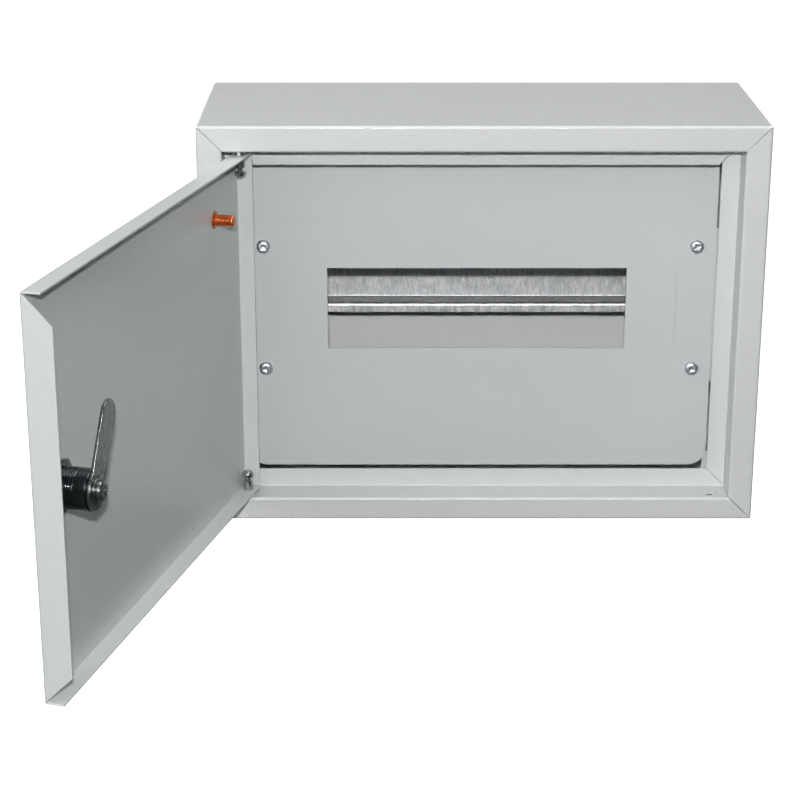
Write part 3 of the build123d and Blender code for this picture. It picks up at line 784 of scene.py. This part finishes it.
low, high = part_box("body_earth_stud")
body_foot = Vector(((low.x + high.x) / 2, high.y, (low.z + high.z) / 2))
toward_user = (0.0, -1.0, 0.0)
stud_length = (high.y - low.y) / MM
stand_in("body_stud", stud_mesh(4.2, 0.8, stud_length, body_foot, toward_user), "body_earth_stud")
washer = ring(3.2, 6.0, 0.8, 2.2, body_foot, toward_user)
stand_in("body_stud_washer", washer, "body_earth_washer")
stand_in("body_stud_nut", nut(10.0, 3.02, 2.2, 7.2, body_foot, toward_user), "body_earth_nut")
print("stud length", round(stud_length, 1), "mm")

# %% [markdown]
# ## Screws by the dozen
# Four screws hold the cover, four hold the bars, and two dozen clamp the wires. They are all
# set out on rectangular grids, so one Geometry Nodes tree lays out the grid, puts a screw on
# every point and turns each by its own angle about the seat, because no fitter stops two
# screws at the same turn. Copying meshes in a loop would work too, but with a tree the counts
# and spacings stay named inputs.

# %% Screw field tree


def screw_field_tree():
    """Columns x Rows of an object on an upright grid, realised and given a material."""
    tree = bpy.data.node_groups.new("screw_field", "GeometryNodeTree")
    face = tree.interface
    face.new_socket("Geometry", in_out="INPUT", socket_type="NodeSocketGeometry")
    for title, kind in (
        ("Columns", "Int"),
        ("Rows", "Int"),
        ("Width", "Float"),
        ("Height", "Float"),
        ("Middle", "Vector"),
        ("Turn", "Float"),
        ("Seed", "Int"),
        ("Screw", "Object"),
        ("Finish", "Material"),
    ):
        face.new_socket(title, in_out="INPUT", socket_type="NodeSocket" + kind)
    face.new_socket("Geometry", in_out="OUTPUT", socket_type="NodeSocketGeometry")
    add = tree.nodes.new
    inside, outside = add("NodeGroupInput"), add("NodeGroupOutput")
    grid, stand = add("GeometryNodeMeshGrid"), add("GeometryNodeTransform")
    info = add("GeometryNodeObjectInfo")
    spin, build = add("FunctionNodeRandomValue"), add("ShaderNodeCombineXYZ")
    scatter = add("GeometryNodeInstanceOnPoints")
    real, paint = add("GeometryNodeRealizeInstances"), add("GeometryNodeSetMaterial")
    spin.data_type = "FLOAT"
    stand.inputs["Rotation"].default_value = (math.pi / 2, 0.0, 0.0)
    spin.inputs[2].default_value = 0.0
    join = tree.links.new
    for title, socket in (
        ("Columns", grid.inputs["Vertices X"]),
        ("Rows", grid.inputs["Vertices Y"]),
        ("Width", grid.inputs["Size X"]),
        ("Height", grid.inputs["Size Y"]),
        ("Middle", stand.inputs["Translation"]),
        ("Turn", spin.inputs[3]),
        ("Seed", spin.inputs["Seed"]),
        ("Screw", info.inputs["Object"]),
        ("Finish", paint.inputs["Material"]),
    ):
        join(inside.outputs[title], socket)
    join(grid.outputs["Mesh"], stand.inputs["Geometry"])
    join(stand.outputs["Geometry"], scatter.inputs["Points"])
    join(info.outputs["Geometry"], scatter.inputs["Instance"])
    join(spin.outputs[1], build.inputs["Y"])
    join(build.outputs["Vector"], scatter.inputs["Rotation"])
    join(scatter.outputs["Instances"], real.inputs["Geometry"])
    join(real.outputs["Geometry"], paint.inputs["Geometry"])
    join(paint.outputs["Geometry"], outside.inputs["Geometry"])
    return tree


screw_field = screw_field_tree()
print("tree nodes", len(screw_field.nodes))

# %% [markdown]
# ## One screw to copy
# The pattern screw is cut from the mechanical model itself: one solid of its node, welded and
# brought to the origin. Its flat top is drawn out to a low crown, because a flat plated face
# mirrors one spot of the room and goes black, while a crowned one always finds the lamp. The
# tree then lays copies of it exactly where the holes are, because the grid's size and middle
# are read back from the node's box.

# %% Laying out the screws
RECESS = 0.3
CROWN = 0.16

def pattern_screw(node):
    """One solid of a node, crowned, with its axis through the origin, as an object."""
    bm = welded_copy(node)
    bm.verts.ensure_lookup_table()
    reached = {bm.verts[0]}
    queue = [bm.verts[0]]
    while queue:
        for link in queue.pop().link_edges:
            for vert in link.verts:
                if vert not in reached:
                    reached.add(vert)
                    queue.append(vert)
    bmesh.ops.delete(bm, geom=[v for v in bm.verts if v not in reached], context="VERTS")
    xs = [v.co.x for v in bm.verts]
    zs = [v.co.z for v in bm.verts]
    centre = Vector(((min(xs) + max(xs)) / 2, 0.0, (min(zs) + max(zs)) / 2))
    bmesh.ops.translate(bm, verts=bm.verts, vec=-centre)
    head = (max(xs) - min(xs)) / 2
    top = min(v.co.y for v in bm.verts)
    under_head = max(v.co.y for v in bm.verts if math.hypot(v.co.x, v.co.z) > 0.95 * head)
    for v in bm.verts:
        reach = math.hypot(v.co.x, v.co.z) / head
        if v.co.y < under_head - 0.0001:
            sunk = RECESS if reach < 0.65 else 1.0
            crown = CROWN * head * reach**2 * (under_head - v.co.y) / (under_head - top)
            v.co.y = top + (v.co.y - top) * sunk + crown
    mesh = bpy.data.meshes.new(node + "_pattern")
    bm.to_mesh(mesh)
    bm.free()
    mesh.shade_smooth()
    mesh.set_sharp_from_angle(angle=SHARP)
    pattern = bpy.data.objects.new(node + "_pattern", mesh)
    bpy.context.scene.collection.objects.link(pattern)
    return pattern, max(xs) - min(xs)


def lay_screws(name, columns, rows, turn, seed, *covered):
    """Fills the boxes of the covered nodes with a grid of screws, as one piece."""
    boxes = [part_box(node) for node in covered]
    low = Vector([min(box[0][i] for box in boxes) for i in range(3)])
    high = Vector([max(box[1][i] for box in boxes) for i in range(3)])
    pattern, across = pattern_screw(covered[0])
    host = bpy.data.objects.new(name + "_host", bpy.data.meshes.new(name + "_host"))
    bpy.context.scene.collection.objects.link(host)
    field = host.modifiers.new("screws", "NODES")
    field.node_group = screw_field
    sizes = {
        "Columns": columns,
        "Rows": rows,
        "Width": high.x - low.x - across,
        "Height": high.z - low.z - across,
        "Middle": ((low.x + high.x) / 2, 0.0, (low.z + high.z) / 2),
        "Turn": turn,
        "Seed": seed,
        "Screw": pattern,
        "Finish": paints[finish_of[covered[0]]],
    }
    for item in screw_field.interface.items_tree:
        if item.in_out == "INPUT" and item.name in sizes:
            field[item.identifier] = sizes[item.name]
    graph = bpy.context.evaluated_depsgraph_get()
    mesh = bpy.data.meshes.new_from_object(host.evaluated_get(graph))
    bpy.data.objects.remove(host)
    bpy.data.objects.remove(pattern)
    return stand_in(name, mesh, *covered)


FULL_TURN = 2 * math.pi
lay_screws("cover_screw_set", 2, 2, FULL_TURN, 4, "cover_screws")
lay_screws("bar_screw_set", 2, 2, FULL_TURN, 7, "bar_screws")
both_bars = ("neutral_clamp_screws", "earth_clamp_screws")
clamps = lay_screws("clamp_screw_set", 12, 2, FULL_TURN, 2, *both_bars)
print("clamp screw faces", len(clamps.data.polygons))

# %% [markdown]
# ## Closing the lesson
# Any node that nothing stands in for still needs its finish, so the loop gives every node the
# material that its slot names.

# %% Finish
for name, node in nodes.items():
    node.data.materials.clear()
    node.data.materials.append(paints[finish_of[name]])
print("pieces", len(made_pieces))
